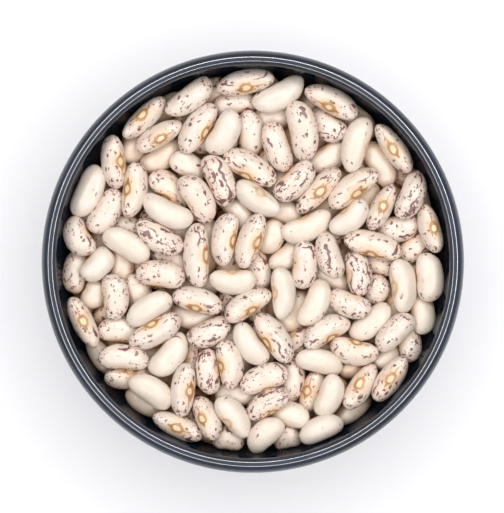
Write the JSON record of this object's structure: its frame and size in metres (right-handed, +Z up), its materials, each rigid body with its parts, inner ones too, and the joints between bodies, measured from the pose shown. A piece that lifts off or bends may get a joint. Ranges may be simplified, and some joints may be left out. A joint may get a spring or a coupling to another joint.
{
  "type": "bowl of dried beans",
  "caption": "Round dark glazed bowl with a rolled lip and a foot ring, filled nearly to the rim with a level heap of dried speckled beans.",
  "frame": {"origin": "middle of the foot ring's underside, on the surface that the bowl stands on", "axes": "+Z up, along the axis of the bowl; +X to the right and +Y to the top as one looks straight down into the bowl"},
  "size_m": [0.125, 0.125, 0.055],
  "materials": {
    "bowl_glaze": "gloss",
    "dried_beans": "satin"
  },
  "bodies": {
    "root": {"bowl": "bowl_glaze", "beans": "dried_beans"}
  },
  "joints": []
}
